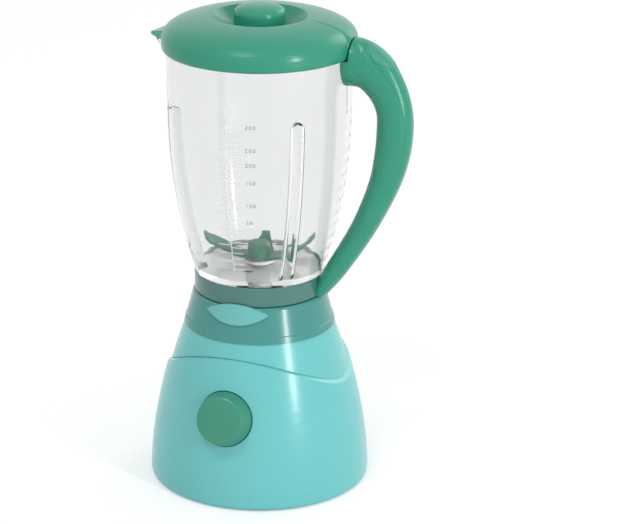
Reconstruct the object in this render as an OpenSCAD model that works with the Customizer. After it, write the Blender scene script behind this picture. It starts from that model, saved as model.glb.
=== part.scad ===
// Toy blender: a clear jug with a lid, a handle and a blade, on a tapered battery base.
// Millimetres. +Z is up, the origin is on the blender's axis at the foot of the base,
// the front with the push button faces -Y, the handle is at +X and the pouring lip at -X.

/* [Base shells] */
// Height of the base, from the table to the deck under the collar
base_h = 86.5; // [82:0.5:92]
// Radius of the base at its foot
base_r = 58.4; // [56:0.2:63]
// Radius of the upper shell at the deck
waist_r = 39.4; // [37.5:0.2:41]
// Power of the curve that the side of the base follows, 1 is a straight cone
base_curve = 1.75; // [1.5:0.05:2]
// Radius of the rounded edge along the foot
foot_round = 3; // [2:0.5:4]
// Wall of the moulded shells
shell_wall = 2.4; // [2:0.1:2.8]
// Thickness of the deck on top of the upper shell
deck_t = 2.5; // [2:0.1:3.5]
// How far the lower shell stands proud of the upper one at their seam
seam_step = 1.6; // [1:0.1:2]
// Height of the seam at the front, measured down from the deck
seam_front_drop = 8.1; // [6:0.1:12]
// How much lower the seam is at the sides than at the front
seam_fall = 20; // [12:0.2:22]
// Depth of the tongue that the upper shell has inside the lower one
tongue_h = 5; // [3:0.5:7]
// Thickness of that tongue
tongue_t = 1.4; // [1:0.1:1.8]
// Radius of the long screw pillars inside the upper shell
pillar_r = 3.2; // [2.8:0.1:3.6]
// Distance of each pillar from the middle, across
pillar_x = 16; // [15.5:0.5:17]
// Distance of each pillar from the middle, front to back
pillar_y = 29; // [28.8:0.1:29.4]

/* [Bottom cover and batteries] */
// Thickness of the bottom cover and of the battery door
cover_t = 2.2; // [1.8:0.1:2.6]
// How far the cover is recessed above the table
cover_recess = 1.2; // [1:0.1:1.8]
// Width of the ledge that the cover seats against
cover_ledge = 2.5; // [2:0.1:3]
// Diameter of one battery
cell_d = 14.2; // [13.8:0.1:14.5]
// Length of one battery with its nub
cell_l = 50.2; // [48:0.1:51]
// Number of batteries side by side
cells = 3; // [2:1:3]
// Room for the contact springs at the end of the cells
spring_room = 6; // [5:0.5:7]
// Wall of the battery box
box_wall = 1.6; // [1.2:0.1:2]
// Width of the flange around the battery box
box_flange = 2; // [1.9:0.1:2.2]
// How far the battery door reaches under the wall of the box
door_lap = 1.5; // [1:0.1:1.7]
// Radius of the loudspeaker
speaker_r = 11.5; // [9:0.5:11.5]
// Height of the loudspeaker
speaker_h = 5; // [4:0.5:8]
// Radius of each hole under the loudspeaker
sound_hole_r = 1; // [0.7:0.1:1.3]
// Length of the circuit board
board_l = 40; // [36:1:44]
// Width of the circuit board
board_w = 24; // [20:1:26]
// Radius of the soft pads under the base
pad_r = 4.5; // [3.5:0.5:5]

/* [Push button] */
// Height of the middle of the button above the table
button_z = 49; // [45:0.5:51]
// Radius of the button in its opening
button_r = 14.4; // [13:0.1:15]
// Radius of the button's face
button_face_r = 11.8; // [10:0.1:12.2]
// How far the button's face stands out of the base
button_proud = 7.8; // [6:0.1:8.2]
// Rise of the slightly domed face
button_dome = 0.9; // [0.4:0.1:1.4]
// Wall of the button
button_wall = 1.6; // [1.2:0.1:2]
// Depth of the button inside the base
button_depth = 7; // [6.6:0.1:7.4]
// How far the button travels when it is pressed
button_travel = 3; // [2:0.1:3.2]
// Radius of the button's stem
stem_r = 4; // [3:0.1:4.5]
// Thickness of the button's guide plate
guide_t = 2.5; // [2:0.1:3]
// Turns of the button's return spring
button_spring_turns = 6; // [4:1:8]

/* [Collar] */
// Height of the collar from the deck to its lip
collar_h = 18; // [17:0.1:19.5]
// How far the foot of the collar stands proud of the deck
collar_proud = 0.6; // [0.2:0.1:1]
// Radius of the collar at its lip
collar_top_r = 34.9; // [34.8:0.1:35.6]
// Height of the plain band at the foot of the collar
collar_band_h = 3.5; // [2:0.1:5]
// Wall of the collar
collar_wall = 2.2; // [1.8:0.1:2.4]
// Height of the seat floor above the deck
seat_floor_h = 7.5; // [6.8:0.1:8]
// Thickness of the seat floor
seat_floor_t = 2; // [1.6:0.1:2.4]
// Half the length of the pointed oval badge plate
badge_half_l = 17; // [14:0.5:18]
// Half the height of the badge plate
badge_half_h = 5.2; // [4:0.1:5.4]
// Thickness of the badge plate
badge_t = 1.4; // [1.2:0.1:1.8]

/* [Jug] */
// Height of the smoky foot ring under the clear jug
ring_h = 10.8; // [10.4:0.1:12]
// Radius of the foot ring
ring_r = 34.3; // [34:0.1:34.4]
// Wall of the foot ring and of its spigot
ring_wall = 2; // [1.6:0.1:2.2]
// Height of the clear jug above its foot ring
jug_h = 120.6; // [114:0.2:126]
// Radius of the jug at its foot
jug_foot_r = 34; // [33.4:0.1:34.2]
// Radius of the jug at its mouth
jug_mouth_r = 47.8; // [46:0.1:48]
// Height above the foot at which the jug is as wide as its mouth
jug_flank_h = 89.5; // [80:0.5:98]
// Wall of the jug
jug_wall = 2.2; // [1.8:0.1:2.6]
// Thickness of the jug's floor
jug_floor_t = 3.5; // [3:0.1:4]
// Half the width of the upright ribs inside the jug
rib_r = 3.7; // [3:0.1:4.2]
// Height of the ribs above the jug's foot
rib_h = 88; // [70:1:92]
// Number of upright ribs
ribs = 2; // [2:1:4]
// How far the pouring lip reaches beyond the jug's wall
lip_reach = 10.5; // [8:0.5:11.5]
// Height of the pouring lip
lip_h = 13; // [10:0.5:16]
// Distance between the coarse marks of the measuring scale, left of its line
mark_pitch = 4.7; // [4:0.1:6]
// Number of coarse marks
marks = 18; // [8:1:19]
// Number of fine marks over the same height, right of the line
fine_marks = 26; // [10:1:30]
// How far the marks stand out of the jug
mark_t = 0.3; // [0.2:0.05:0.5]

/* [Handle] */
// Half the width of the handle across the grip
grip_half_w = 8.6; // [7.5:0.1:9.5]
// How far the grip reaches from the blender's axis
grip_reach = 82.8; // [80:0.2:86]
// Half the depth of the grip at its fullest
grip_half_t = 9.4; // [8.5:0.1:9.8]
// How deep the groove is on each side, where the back strip meets the grip
strip_step = 1.2; // [0.5:0.1:1.5]

/* [Lid] */
// Radius of the lid at its rim
lid_r = 50.6; // [50.3:0.1:50.9]
// Depth of the lid's rim below the jug's mouth
lid_skirt_h = 1.5; // [1:0.1:3]
// Rise of the lid above the jug's mouth
lid_rise = 15.8; // [15:0.1:18]
// How far the end of the lid's tongue lies below the edge of the hollow
tongue_drop = 6.8; // [6:0.1:8]
// Gap between the end of the lid's tongue and the handle
tongue_gap = 1; // [0.5:0.1:1.4]
// Wall of the lid
lid_wall = 2.2; // [1.8:0.1:2.4]
// Radius of the dished hollow around the cap
dish_r = 24.6; // [21:0.2:26]
// Depth of that hollow
dish_depth = 7.3; // [6.5:0.1:8]
// Depth of the plug ring inside the jug
plug_h = 3.2; // [2.8:0.1:8]
// Radius of the filler cap
cap_r = 13.1; // [12:0.1:14]
// Height of the filler cap above the dished hollow
cap_h = 13; // [11:0.1:14]
// Radius of the filler hole in the lid
filler_r = 11.4; // [10:0.1:11.6]
// Depth of the cap's plug inside the filler hole
cap_plug_h = 8; // [6:0.5:9]

/* [Drive] */
// Radius of the drive shaft and of the blade shaft
shaft_r = 2; // [1.8:0.05:2.2]
// Height of the gear plate above the table
gear_plate_z = 58; // [56:0.5:60]
// Thickness of the gear plate
gear_plate_t = 2.5; // [2:0.1:3]
// Radius of the gear plate
gear_plate_r = 27; // [26:0.5:27.5]
// Tooth size of the gears: the pitch diameter divided by the number of teeth
gear_module = 0.8; // [0.74:0.02:0.82]
// Teeth of the motor pinion
pinion_teeth = 10; // [10:1:11]
// Teeth of the drive gear
gear_teeth = 40; // [37:1:40]
// Face width of the gears
gear_w = 5; // [4:0.5:6]
// Radius of the motor can
motor_r = 10; // [9:0.2:10.4]
// Length of the motor can
motor_l = 25; // [22:0.5:27]
// Radius of the coupling dogs
dog_r = 8; // [7:0.2:8.4]
// Height of the coupling lugs
lug_h = 3; // [2.6:0.1:3.2]
// Number of coupling lugs
lugs = 3; // [2:1:4]
// Radius of the blade's hub
hub_r = 5.6; // [5:0.1:7]
// Height of the blade's hub
hub_h = 9; // [8:0.2:11]
// Width of each blade arm
arm_w = 11; // [8:0.5:11]
// Thickness of each blade arm
arm_t = 1.5; // [1.2:0.1:2]
// Reach of the longest blade arm from the axis
blade_reach = 30.6; // [28:0.2:31]
// Rise of the steepest blade arm
blade_rise = 13; // [10:0.5:14]
// Distance of the lamp from the blender's axis
lamp_r = 12.5; // [12.2:0.1:13]

/* [Fits] */
// Gap between the halves of the base and around fixed covers
case_gap = 0.25; // [0.15:0.05:0.4]
// Gap around pieces that lift off
lift_gap = 0.4; // [0.3:0.05:0.6]
// Height of the gap under pieces that lift off
seat_gap = 0.2; // [0.1:0.05:0.3]
// Gap around the push button
button_gap = 0.45; // [0.3:0.05:0.6]
// Clearance of the running shafts and of the button's stem
run_gap = 0.05; // [0.03:0.01:0.08]
// Gap at the ends of running pieces
end_gap = 0.3; // [0.2:0.05:0.4]
// Play between meshing teeth
tooth_play = 0.28; // [0.2:0.02:0.4]
// Radius of the screws' threads
screw_r = 1.1; // [0.9:0.05:1.3]
// Radius of the screws' heads
screw_head_r = 2.3; // [2:0.1:2.5]
// Height of the screws' heads
screw_head_h = 1.6; // [1.2:0.1:1.8]

/* [Hidden] */
$fn = 96;
SHELL_TEAL = [0.45, 0.77, 0.76];
GREEN = [0.29, 0.61, 0.50];
SMOKE = [0.35, 0.57, 0.55, 0.75];
BADGE_TEAL = [0.47, 0.76, 0.75];
CLEAR = [0.90, 0.93, 0.93, 0.35];
STEEL = [0.72, 0.73, 0.75];
DARK = [0.20, 0.21, 0.22];
WHITE = [0.92, 0.92, 0.90];

profile_steps = 14;
far = 200;
merge = 0.4;

// heights that stack up from the table
cover_top = cover_recess + cover_t;
deck_bottom = base_h - deck_t;
collar_top = base_h + collar_h;
ring_z = collar_top + seat_gap;
jug_z = ring_z + ring_h;
jug_top = jug_z + jug_h;
floor_top = jug_z + jug_floor_t;
lid_top = jug_top + lid_rise;
lid_foot = jug_top - lid_skirt_h;
lid_seat = jug_top + seat_gap;
dish_z = lid_top - dish_depth;
cap_z = dish_z + seat_gap;

// the side of the base, as a radius at a height
base_out_top_r = waist_r + seam_step;
function base_out(z) =
    let (t = max(0, min(1, (z - foot_round) / (base_h - foot_round))))
    base_r - (base_r - base_out_top_r) * pow(t, base_curve);

// the seam is where a big cylinder, lying front to back, cuts the shells
seam_front_z = base_h - seam_front_drop;
seam_side_x = base_out(seam_front_z - seam_fall);
seam_r = (seam_side_x * seam_side_x + seam_fall * seam_fall) / (2 * seam_fall);

// the button stands square to the side of the base
button_tilt = atan((base_out(button_z - 1) - base_out(button_z + 1)) / 2);
button_boss_x = button_r + 6;
guide_z = -(button_depth + button_travel + 2);
stem_end_z = guide_z - guide_t - 3;
pad_t = 1.5;
switch_z = stem_end_z - pad_t - button_travel - seat_gap;
switch_t = 1.4;
leg_x = 10;
leg_r = 2;

// battery box, seen from above
box_l = cell_l + spring_room + 1.2;
cell_pitch = cell_d + 0.4;
box_w = cells * cell_pitch + 0.4;
box_h = cell_d + 2 * end_gap;
cell_z = cover_top + end_gap + cell_d / 2;
box_top = cover_top + box_h + box_wall;
door_screw_y = box_w / 2 + box_wall + box_flange + screw_head_r - 1;
door_tab_w = 9;
board_z = box_top + 4;
board_t = 1.6;
speaker_y = -(box_w / 2 + box_wall + box_flange + speaker_r);

// the side of the jug, as a radius at a height
jug_flank_d = jug_mouth_r - jug_foot_r;
jug_flank_r = (jug_flank_h * jug_flank_h + jug_flank_d * jug_flank_d) / (2 * jug_flank_d);
function jug_out(z) =
    let (below = max(0, jug_z + jug_flank_h - z))
    jug_mouth_r - jug_flank_r + sqrt(jug_flank_r * jug_flank_r - below * below);

// collar and foot ring
collar_foot_r = waist_r + collar_proud;
seat_floor_z = base_h + seat_floor_h;
seat_floor_top = seat_floor_z + seat_floor_t;
collar_in_r = collar_top_r - collar_wall;
spigot_r = collar_in_r - lift_gap;
ring_floor_t = 2;
ring_floor_z = jug_z - ring_floor_t - 2;
band_top = base_h + collar_band_h;
band_step = 0.25;
function collar_out(z) =
    collar_foot_r - band_step - (collar_foot_r - band_step - collar_top_r) * (z - base_h) / collar_h;
badge_z = collar_top - 3.2;
badge_arc_r = (badge_half_l * badge_half_l + badge_half_h * badge_half_h) / (2 * badge_half_h);
lamp_a = 260;
lamp_bulb_r = 2.5;

// drive train, from the gear plate to the blade
centre_d = gear_module * (pinion_teeth + gear_teeth) / 2;
gear_z = gear_plate_z + gear_plate_t + 3.5;
post_x = 16;
motor_z = gear_plate_z - motor_l;
bush_r = shaft_r + 2;
dog_z = seat_floor_top + 0.5;
dog_t = 2.5;
lug_z = dog_z + dog_t;
blade_dog_z = lug_z + lug_h + end_gap;
blade_dog_top = blade_dog_z + dog_t;
blade_bush_z = blade_dog_top + end_gap;
bush_flange_t = 1.5;
bush_flange_r = 8;
hub_z = floor_top + bush_flange_t + end_gap;
lug_angle = 180 / lugs - 12;

// handle: the middle line of the grip in the X-Z plane, as a curve through a few points.
// Each row: distance from the axis, height, half depth, half width, and where along the
// half depth the strip on the back begins
grip_mid = grip_reach - grip_half_t;
grip_root_z = jug_top - 4.1;
grip_root_t = 12.7;
grip_root_w = 1.16 * grip_half_w;
grip_points = [
    [jug_mouth_r - 6.8, grip_root_z - 0.2, grip_root_t, grip_root_w, 0.90],
    [jug_mouth_r + 4.2, grip_root_z, grip_root_t, grip_root_w, 0.90],
    [grip_mid - 12.0, jug_top - 8.0, 11.4, 1.06 * grip_half_w, 0.55],
    [grip_mid - 4.9, jug_top - 16.6, 9.9, grip_half_w, 0.60],
    [grip_mid - 0.8, jug_top - 26.6, 9.2, grip_half_w, 0.70],
    [grip_mid, jug_top - 37.8, grip_half_t, grip_half_w, 0.74],
    [grip_mid - 1.6, jug_top - 52.8, grip_half_t - 0.4, grip_half_w, 0.76],
    [grip_mid - 6, jug_top - 69.3, grip_half_t - 1.6, 0.97 * grip_half_w, 0.76],
    [jug_foot_r + 23.3, jug_z + 28.5, 6.5, 0.92 * grip_half_w, 0.72],
    [jug_foot_r + 9.6, jug_z + 5.4, 5.6, 0.88 * grip_half_w, 0.64],
    [jug_foot_r + 1.6, jug_z - 6.6, 4.4, 0.80 * grip_half_w, 0.56],
    [jug_foot_r - 2.4, jug_z - 12.6, 3.4, 0.66 * grip_half_w, 0.50]
];
grip_end_z = ring_z + 0.3;

/* ---------- helpers ---------- */

// a point on the smooth curve through rows i and i + 1 of a list
function spline(rows, i, t) =
    let (
        last = len(rows) - 1,
        a = rows[max(0, i - 1)],
        b = rows[i],
        c = rows[min(last, i + 1)],
        d = rows[min(last, i + 2)]
    )
    0.5 * (2 * b + (c - a) * t + (2 * a - 5 * b + 4 * c - d) * t * t
        + (3 * b - a - 3 * c + d) * t * t * t);

// a closed solid through a list of rings, each with the same number of points
module skin_rings(rings) {
    count = len(rings);
    sides = len(rings[0]);
    points = [for (ring = rings) each ring];
    walls = [
        for (i = [0 : count - 2], j = [0 : sides - 1])
            each [
                [i * sides + j, (i + 1) * sides + j, (i + 1) * sides + (j + 1) % sides],
                [i * sides + j, (i + 1) * sides + (j + 1) % sides, i * sides + (j + 1) % sides]
            ]
    ];
    first = [for (j = [0 : sides - 1]) j];
    last = [for (j = [sides - 1 : -1 : 0]) (count - 1) * sides + j];
    polyhedron(points, concat([first], walls, [last]), convexity = 6);
}

// a coil spring that stands on its end, from z = 0 to z = length
module coil(r_low, r_high, wire_r, length, turns, steps = 14, sides = 6) {
    rings = [
        for (k = [0 : turns * steps])
            let (
                a = 360 * k / steps,
                f = k / (turns * steps),
                r = r_low + (r_high - r_low) * f,
                z = wire_r + (length - 2 * wire_r) * f
            )
            [for (s = [0 : sides - 1])
                let (b = -360 * s / sides, q = r + wire_r * cos(b))
                [q * cos(a), q * sin(a), z + wire_r * sin(b)]]
    ];
    skin_rings(rings);
}

// a pan-head screw whose head sits on z = 0 and whose thread points to +Z
module screw(thread_l) {
    difference() {
        union() {
            translate([0, 0, -screw_head_h]) cylinder(h = screw_head_h, r = screw_head_r);
            cylinder(h = thread_l, r = screw_r);
        }
        slot = screw_head_r * 0.28;
        for (a = [0, 90])
            rotate([0, 0, a])
                translate([-screw_head_r * 0.7, -slot / 2, -screw_head_h - 1])
                    cube([screw_head_r * 1.4, slot, 1 + screw_head_h * 0.6]);
    }
}

// a hole with a recess for a screw's head, up from z = 0
head_sink = 0.8;
module sunk_hole() {
    translate([0, 0, -1]) cylinder(h = cover_t + 2, r = screw_r + 0.3);
    translate([0, 0, -1]) cylinder(h = 1 + head_sink, r = screw_head_r + 0.3);
}

// the points of a line, each moved by d towards the line's right-hand side
function offset_line(line, d) =
    let (last = len(line) - 1)
    [for (i = [0 : last])
        let (
            run = line[min(last, i + 1)] - line[max(0, i - 1)],
            n = [run[1], -run[0]] / norm(run)
        )
        line[i] + d * n];

// an outline of r against z, from a function-made list of outer points and a wall
module ring_wall_shape(outer, wall) {
    inner = [for (i = [len(outer) - 1 : -1 : 0]) outer[i] - [wall, 0]];
    polygon(concat(outer, inner));
}

module seam_cylinder(extra) {
    translate([0, 0, seam_front_z - seam_r])
        rotate([90, 0, 0])
            cylinder(h = far, r = seam_r + extra, center = true, $fn = 180);
}

module at_button() {
    translate([0, -base_out(button_z), button_z])
        rotate([90 - button_tilt, 0, 0])
            children();
}

module at_pillars() {
    for (sx = [-1, 1], sy = [-1, 1])
        translate([sx * pillar_x, sy * pillar_y, 0])
            children();
}

module at_posts() {
    for (sx = [-1, 1], sy = [-1, 1])
        translate([sx * post_x, sy * post_x, 0])
            children();
}

collar_boss_r = 3;
collar_boss_at = waist_r - shell_wall - collar_boss_r - 3.4;
module at_collar_bosses() {
    for (a = [90, 210, 330])
        rotate([0, 0, a])
            translate([collar_boss_at, 0, 0])
                children();
}

/* ---------- base ---------- */

module base_lower() {
    top_z = seam_front_z + 2;
    foot_steps = 6;
    foot = [
        for (i = [0 : foot_steps])
            let (a = 90 * i / foot_steps)
            [base_r - foot_round * (1 - sin(a)), foot_round * (1 - cos(a))]
    ];
    side = [
        for (i = [1 : profile_steps])
            let (z = foot_round + (top_z - foot_round) * i / profile_steps)
            [base_out(z), z]
    ];
    wall_in = [
        for (i = [profile_steps : -1 : 1])
            let (z = foot_round + (top_z - foot_round) * i / profile_steps)
            if (z > cover_top + 2)
            [base_out(z) - shell_wall, z]
    ];
    rim_in_r = base_r - foot_round - 2;
    inside = concat(wall_in, [
        [base_out(cover_top + 1.6) - shell_wall, cover_top + 1.6],
        [rim_in_r - cover_ledge, cover_top + 1.6],
        [rim_in_r - cover_ledge, cover_top],
        [rim_in_r, cover_top],
        [rim_in_r, 0]
    ]);
    color(SHELL_TEAL)
    difference() {
        union() {
            intersection() {
                rotate_extrude() polygon(concat(foot, side, inside));
                seam_cylinder(0);
            }
            // posts for the button's guide plate
            at_button()
                for (sx = [-1, 1])
                    translate([sx * button_boss_x, 0, guide_z])
                        cylinder(h = -guide_z - 5.4, r = 3);
        }
        // the button's opening with a chamfered rim
        at_button() {
            translate([0, 0, -shell_wall - 8]) cylinder(h = far / 4, r = button_r + button_gap);
            translate([0, 0, -0.4])
                cylinder(h = 6, r1 = button_r + button_gap, r2 = button_r + button_gap + 6);
            for (sx = [-1, 1])
                translate([sx * button_boss_x, 0, guide_z - 1])
                    cylinder(h = 5, r = screw_r);
        }
        // the ledge leaves the loudspeaker free
        translate([0, speaker_y, cover_top - 0.5]) cylinder(h = 3.5, r = speaker_r + case_gap);
    }
}

module base_upper() {
    low_z = seam_front_z - seam_fall - tongue_h - 2;
    side = [
        for (i = [0 : profile_steps])
            let (z = low_z + (base_h - low_z) * i / profile_steps)
            [base_out(z) - seam_step, z]
    ];
    tongue = [
        for (i = [0 : profile_steps])
            let (z = low_z + (base_h - deck_t - low_z) * i / profile_steps)
            [base_out(z) - shell_wall - case_gap, z]
    ];
    color(SHELL_TEAL)
    difference() {
        union() {
            difference() {
                rotate_extrude() ring_wall_shape(side, shell_wall);
                seam_cylinder(case_gap);
            }
            intersection() {
                rotate_extrude() ring_wall_shape(tongue, tongue_t);
                difference() {
                    seam_cylinder(1);
                    seam_cylinder(-tongue_h);
                }
            }
            translate([0, 0, deck_bottom]) cylinder(h = deck_t, r = waist_r - 1);
            at_pillars()
                translate([0, 0, cover_top])
                    cylinder(h = deck_bottom + merge - cover_top, r = pillar_r);
            at_posts()
                translate([0, 0, gear_plate_z + gear_plate_t])
                    cylinder(h = deck_bottom + merge - gear_plate_z - gear_plate_t, r = 2.8);
        }
        translate([0, 0, deck_bottom - 1]) cylinder(h = deck_t + 2, r = bush_r);
        rotate([0, 0, lamp_a])
            translate([lamp_r, 0, deck_bottom - 1])
                cylinder(h = deck_t + 2, r = lamp_bulb_r + 0.5);
        at_pillars() translate([0, 0, cover_top - 1]) cylinder(h = 13, r = screw_r);
        at_posts()
            translate([0, 0, gear_plate_z + gear_plate_t - 1])
                cylinder(h = 9, r = screw_r);
        at_collar_bosses()
            translate([0, 0, deck_bottom - 1])
                cylinder(h = deck_t + 2, r = screw_r);
    }
}

module door_outline(grow) {
    translate([-box_l / 2 - door_lap - grow, -box_w / 2 - door_lap - grow])
        square([box_l + 2 * (door_lap + grow), box_w + 2 * (door_lap + grow)]);
    translate([-door_tab_w / 2 - grow, 0])
        square([door_tab_w + 2 * grow, door_screw_y + screw_head_r + 1 + grow]);
}

module bottom_cover() {
    color(SHELL_TEAL)
    difference() {
        translate([0, 0, cover_recess])
            cylinder(h = cover_t, r = base_r - foot_round - 2 - case_gap);
        translate([0, 0, cover_recess - 1])
            linear_extrude(cover_t + 2)
                door_outline(case_gap);
        at_pillars() translate([0, 0, cover_recess]) sunk_hole();
        // sound holes: one in the middle and two rings
        translate([0, speaker_y, cover_recess - 1]) {
            cylinder(h = cover_t + 2, r = sound_hole_r);
            for (k = [1, 2], i = [0 : 6 * k - 1])
                rotate([0, 0, 60 * i / k])
                    translate([k * speaker_r * 0.36, 0, 0])
                        cylinder(h = cover_t + 2, r = sound_hole_r);
        }
    }
}

module base_screws() {
    color(STEEL)
        at_pillars()
            translate([0, 0, cover_recess + head_sink])
                screw(cover_t - head_sink + 10);
}

module base_pads() {
    pad_at = base_r - foot_round - 2 - case_gap - pad_r - 1;
    color(DARK)
        for (a = [0, 90, 180, 248, 292])
            rotate([0, 0, a])
                translate([pad_at, 0, 0])
                    cylinder(h = cover_recess, r = pad_r);
}

/* ---------- batteries and electronics ---------- */

module battery_box() {
    color(WHITE)
    difference() {
        union() {
            translate([-box_l / 2 - box_wall, -box_w / 2 - box_wall, cover_top])
                cube([box_l + 2 * box_wall, box_w + 2 * box_wall, box_h + box_wall]);
            translate([-box_l / 2 - box_wall - box_flange, -box_w / 2 - box_wall - box_flange, cover_top])
                cube([box_l + 2 * (box_wall + box_flange), box_w + 2 * (box_wall + box_flange), 1.6]);
            // boss for the door's screw
            translate([0, door_screw_y, cover_top]) cylinder(h = 9, r = 3.2);
            translate([-1, box_w / 2, cover_top]) cube([2, door_screw_y - box_w / 2 - 2, 9]);
            // pegs that carry the circuit board
            for (sx = [-1, 1], sy = [-1, 1])
                translate([sx * 16, sy * 8, box_top - merge])
                    cylinder(h = board_z - box_top + merge, r = 1.8);
        }
        translate([-box_l / 2, -box_w / 2, cover_top - 1]) cube([box_l, box_w, box_h + 1]);
        translate([0, door_screw_y, cover_top - 1]) cylinder(h = 8, r = screw_r + run_gap);
    }
}

// one cell: the nub points to +X, and every other cell lies the other way round
module cell(i) {
    flip = i % 2 == 0 ? 0 : 180;
    nub_l = 1.2;
    body_l = cell_l - nub_l;
    start = -box_l / 2 + spring_room;
    translate([0, (i - (cells - 1) / 2) * cell_pitch, cell_z])
        rotate([0, 0, flip])
            translate([start, 0, 0])
                rotate([0, 90, 0]) {
                    cylinder(h = body_l, r = cell_d / 2);
                    translate([0, 0, body_l]) cylinder(h = nub_l, r = 2.7);
                }
}

module battery_1() { color([0.30, 0.33, 0.36]) cell(0); }
module battery_2() { color([0.30, 0.33, 0.36]) cell(1); }
module battery_3() { color([0.30, 0.33, 0.36]) cell(min(2, cells - 1)); }

module contact_plates() {
    plate_t = 0.5;
    color(STEEL)
    for (i = [0 : cells - 1])
        translate([0, (i - (cells - 1) / 2) * cell_pitch, cell_z])
            for (side = [-1, 1])
                translate([side * (box_l - plate_t) / 2, 0, 0])
                    cube([plate_t, 10, 10], center = true);
}

module contact_springs() {
    spring_l = spring_room - 0.5 - end_gap;
    color(STEEL)
    for (i = [0 : cells - 1])
        translate([0, (i - (cells - 1) / 2) * cell_pitch, cell_z])
            rotate([0, 0, i % 2 == 0 ? 0 : 180])
                translate([-box_l / 2 + 0.5, 0, 0])
                    rotate([0, 90, 0])
                        coil(0.3 * cell_d, 0.155 * cell_d, 0.35, spring_l, 4);
}

module battery_door() {
    color(SHELL_TEAL)
    difference() {
        translate([0, 0, cover_recess])
            linear_extrude(cover_t)
                door_outline(-seat_gap);
        translate([0, door_screw_y, cover_recess]) sunk_hole();
    }
}

module door_screw() {
    color(STEEL)
        translate([0, door_screw_y, cover_recess + head_sink])
            screw(cover_t - head_sink + 5.5);
}

module speaker() {
    color(DARK)
        translate([0, speaker_y, cover_top]) {
            cylinder(h = 1.5, r = speaker_r);
            cylinder(h = speaker_h, r = speaker_r * 0.62);
        }
}

module circuit_board() {
    color([0.16, 0.42, 0.26])
        translate([-board_l / 2, -board_w / 2, board_z])
            cube([board_l, board_w, board_t]);
    color(DARK)
        translate([-5, -4, board_z + board_t - 0.1])
            cube([10, 8, 2]);
    color(DARK)
        translate([12, 5, board_z + board_t - 0.1])
            cylinder(h = 7, r = 2.5);
}

/* ---------- push button ---------- */

module button() {
    face_z = button_proud;
    dome_r = (button_face_r * button_face_r + button_dome * button_dome) / (2 * button_dome);
    dome = [
        for (i = [0 : 6])
            let (x = button_face_r * i / 6)
            [x, face_z - dome_r + button_dome + sqrt(dome_r * dome_r - x * x)]
    ];
    in_r = button_r - button_wall;
    color(GREEN)
    at_button() {
        rotate_extrude()
            polygon(concat(dome, [
                [button_face_r + 0.7, face_z - 0.4],
                [button_r, 0.4],
                [button_r, -button_depth + 1.4],
                [button_r + 1.5, -button_depth + 1.4],
                [button_r + 1.5, -button_depth],
                [in_r, -button_depth],
                [in_r, -0.5],
                [button_face_r - button_wall, face_z - button_wall - 0.4],
                [stem_r, face_z - button_wall - 0.4],
                [stem_r, stem_end_z],
                [0, stem_end_z]
            ]));
    }
}

module button_pad() {
    color(DARK) at_button() translate([0, 0, stem_end_z - pad_t]) cylinder(h = pad_t, r = stem_r - 0.5);
}

module button_spring() {
    length = button_proud - button_wall - 0.4 - guide_z - seat_gap;
    color(STEEL)
        at_button()
            translate([0, 0, guide_z + seat_gap / 2])
                coil(stem_r + 2, stem_r + 2, 0.5, length, button_spring_turns);
}

module button_guide() {
    color(WHITE)
    at_button()
        difference() {
            union() {
                translate([-button_boss_x - 4, -9, guide_z - guide_t])
                    cube([2 * button_boss_x + 8, 18, guide_t]);
                for (sx = [-1, 1])
                    translate([sx * leg_x, 0, switch_z])
                        cylinder(h = guide_z - switch_z, r = leg_r);
            }
            translate([0, 0, guide_z - guide_t - 1]) cylinder(h = guide_t + 2, r = stem_r + run_gap);
            for (sx = [-1, 1])
                translate([sx * button_boss_x, 0, guide_z - guide_t - 1])
                    cylinder(h = guide_t + 2, r = screw_r + 0.3);
        }
}

module button_screws() {
    color(STEEL)
        at_button()
            for (sx = [-1, 1])
                translate([sx * button_boss_x, 0, guide_z - guide_t])
                    screw(guide_t + 3.6);
}

module switch_board() {
    color([0.16, 0.42, 0.26])
        at_button()
            translate([-leg_x - 2, -8, switch_z - switch_t])
                cube([2 * leg_x + 4, 16, switch_t]);
}

/* ---------- drive ---------- */

// a gear outline with straight-flanked teeth, one tooth centred on +X
module gear_outline(teeth) {
    pitch_r = gear_module * teeth / 2;
    tip_r = pitch_r + gear_module;
    root_r = pitch_r - 1.25 * gear_module;
    half_tooth = PI * gear_module / 4 - tooth_play / 4;
    half_tip = half_tooth - 0.38 * gear_module;
    half_root = half_tooth + 0.26 * gear_module;
    circle(root_r);
    for (i = [0 : teeth - 1])
        rotate(360 * i / teeth)
            polygon([
                [root_r - 0.3, -half_root],
                [pitch_r, -half_tooth],
                [tip_r, -half_tip],
                [tip_r, half_tip],
                [pitch_r, half_tooth],
                [root_r - 0.3, half_root]
            ]);
}

module motor() {
    color(STEEL)
    translate([0, centre_d, motor_z]) {
        intersection() {
            cylinder(h = motor_l, r = motor_r);
            translate([-motor_r, -motor_r * 0.76, 0]) cube([2 * motor_r, motor_r * 1.52, motor_l]);
        }
        translate([0, 0, -1.5]) cylinder(h = 1.6, r = 3.5);
    }
}

module motor_screws() {
    head_z = gear_plate_z + gear_plate_t;
    color(STEEL)
        for (sx = [-1, 1])
            translate([sx * 7, centre_d, head_z])
                mirror([0, 0, 1])
                    screw(gear_plate_t);
}

module motor_pinion() {
    color(WHITE)
    translate([0, centre_d, 0]) {
        translate([0, 0, gear_z - 0.5])
            linear_extrude(gear_w + 1)
                rotate(-90 + 180 / pinion_teeth)
                    gear_outline(pinion_teeth);
        translate([0, 0, gear_plate_z + seat_gap])
            cylinder(h = gear_z - gear_plate_z, r = 1);
    }
}

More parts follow.
